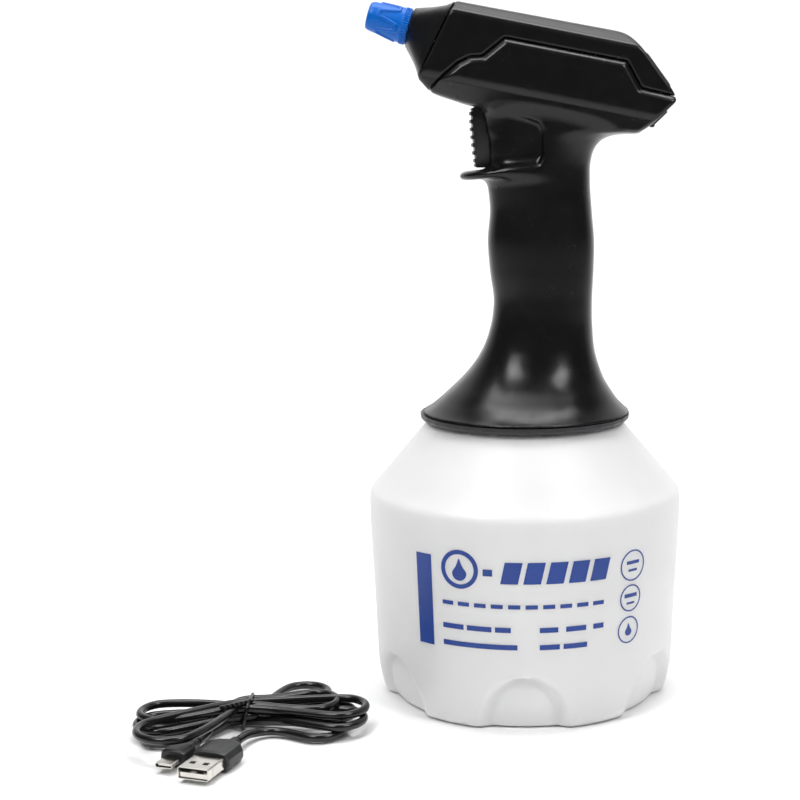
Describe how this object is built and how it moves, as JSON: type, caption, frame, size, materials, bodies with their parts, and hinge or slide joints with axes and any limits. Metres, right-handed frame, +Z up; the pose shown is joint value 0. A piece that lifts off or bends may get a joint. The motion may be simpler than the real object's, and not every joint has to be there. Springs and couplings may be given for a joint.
{
  "type": "battery trigger sprayer",
  "caption": "Pistol-grip battery sprayer: motor-pump head screwed onto a translucent bottle, with sprung trigger, turning nozzle and a coiled charging lead beside it.",
  "frame": {"origin": "centre of the bottle's flat base, on the surface it stands on", "axes": "+Z up through the bottle and neck, -X towards the nozzle, +Y to the side that takes the housing screws"},
  "size_m": [0.2122, 0.1748, 0.2773],
  "materials": {
    "bottle_translucent": "satin, slightly translucent HDPE",
    "housing_black": "satin moulded ABS",
    "trigger_black": "matt, ribbed",
    "nozzle_blue": "semi-gloss",
    "inner_dark": "moulded inner part",
    "natural_plastic": "natural acetal or polypropylene",
    "clear_tube": "clear soft tube",
    "seal_rubber": "soft seal",
    "bright_steel": "bright",
    "screw_steel": "zinc plated",
    "cell_wrap": null,
    "board_green": "solder mask",
    "panel_gloss": "gloss strip",
    "lens_clear": "clear light pipe",
    "cable_pvc": "satin PVC",
    "plug_black": "moulded plug",
    "plug_steel": "nickel-plated shell",
    "lead_red": "insulation"
  },
  "bodies": {
    "bottle": {"bottle_shell": "bottle_translucent", "bottle_neck": "bottle_translucent"},
    "neck_seal": {"collar_gasket": "seal_rubber"},
    "head": {"threaded_collar": "housing_black", "vent_valve": "seal_rubber", "dip_fitting": "natural_plastic", "dip_tube": "clear_tube", "suction_filter": "inner_dark", "inlet_tube": "clear_tube", "outlet_tube": "clear_tube", "housing_left": "housing_black", "housing_right": "housing_black", "top_cover": "housing_black", "nose_cone": "housing_black", "trigger_pin": "bright_steel", "trigger_spring": "bright_steel", "microswitch": "inner_dark", "switch_bracket": "inner_dark", "battery_cell": "cell_wrap", "battery_cradle": "inner_dark", "battery_lead_red": "lead_red", "battery_lead_black": "cable_pvc", "circuit_board": "board_green", "button_board": "board_green", "indicator_panel": "panel_gloss", "indicator_lens_1": "lens_clear", "indicator_lens_2": "lens_clear", "indicator_lens_3": "lens_clear", "usb_socket": "plug_steel", "pump_housing": "inner_dark", "pump_cover": "inner_dark", "motor_can": "bright_steel", "idler_pin": "bright_steel", "nozzle_tube": "natural_plastic", "nozzle_o_ring": "seal_rubber", "housing_screw_1": "screw_steel", "housing_screw_2": "screw_steel", "housing_screw_3": "screw_steel", "housing_screw_4": "screw_steel", "housing_screw_5": "screw_steel"},
    "trigger": {"trigger": "trigger_black"},
    "power_button": {"power_button": "housing_black"},
    "usb_port_cover": {"usb_port_cover": "seal_rubber"},
    "pump_drive": {"motor_shaft": "bright_steel", "pump_drive_gear": "natural_plastic"},
    "pump_idler": {"pump_idler_gear": "natural_plastic"},
    "nozzle_swirl": {"swirl_core": "natural_plastic"},
    "nozzle_cap": {"nozzle_cap": "nozzle_blue"},
    "charging_lead": {"charging_cable_hank": "cable_pvc", "cable_tie": "cable_pvc", "usb_a_plug": "plug_black", "usb_a_shell": "plug_steel", "micro_usb_plug": "plug_black", "micro_usb_shell": "plug_steel"}
  },
  "joints": [
    {"name": "head_lift", "type": "slide", "parent": "bottle", "child": "neck_seal", "axis": [0, 0, 1], "range_m": [0, 0.00605]},
    {"name": "head_unscrew", "type": "hinge", "parent": "neck_seal", "child": "head", "pos_m": [0, 0, 0.1165], "axis": [0, 0, 1], "range_deg": [0, 540]},
    {"name": "trigger_pull", "type": "hinge", "parent": "head", "child": "trigger", "pos_m": [-0.013, 0, 0.241], "axis": [0, -1, 0], "range_deg": [0, 8], "stiffness_Nm_per_rad": 0.3, "springref_deg": -5.73, "deforming": ["trigger_spring"]},
    {"name": "power_button_press", "type": "slide", "parent": "head", "child": "power_button", "axis": [-0.8028, 0, -0.5962], "range_m": [0, 0.001], "stiffness_N_per_m": 400, "springref_m": -0.001},
    {"name": "usb_port_cover_open", "type": "hinge", "parent": "head", "child": "usb_port_cover", "pos_m": [0.05031, 0, 0.2297], "axis": [0, 1, 0], "range_deg": [0, 110]},
    {"name": "pump_drive_spin", "type": "hinge", "parent": "head", "child": "pump_drive", "pos_m": [0, 0, 0.2527], "axis": [0.982, 0, -0.1891], "continuous": true},
    {"name": "pump_idler_spin", "type": "hinge", "parent": "head", "child": "pump_idler", "pos_m": [-0.00152, 0, 0.24479], "axis": [0.982, 0, -0.1891], "continuous": true},
    {"name": "nozzle_advance", "type": "slide", "parent": "head", "child": "nozzle_swirl", "axis": [-0.9603, 0, 0.279], "range_m": [0, 0.0015]},
    {"name": "nozzle_turn", "type": "hinge", "parent": "nozzle_swirl", "child": "nozzle_cap", "pos_m": [-0.0449, 0, 0.2675], "axis": [-0.9603, 0, 0.279], "range_deg": [0, 360]},
    {"name": "charging_lead_slide", "type": "slide", "parent": "bottle", "child": "charging_lead", "axis": [-1, 0, 0], "range_m": [0, 0.1]}
  ],
  "couplings": [
    {"joint": "head_lift", "follows": "head_unscrew", "m_per_rad": 0.000636},
    {"joint": "nozzle_turn", "follows": "nozzle_advance", "rad_per_m": 4188},
    {"joint": "pump_idler_spin", "follows": "pump_drive_spin", "ratio": -1}
  ]
}
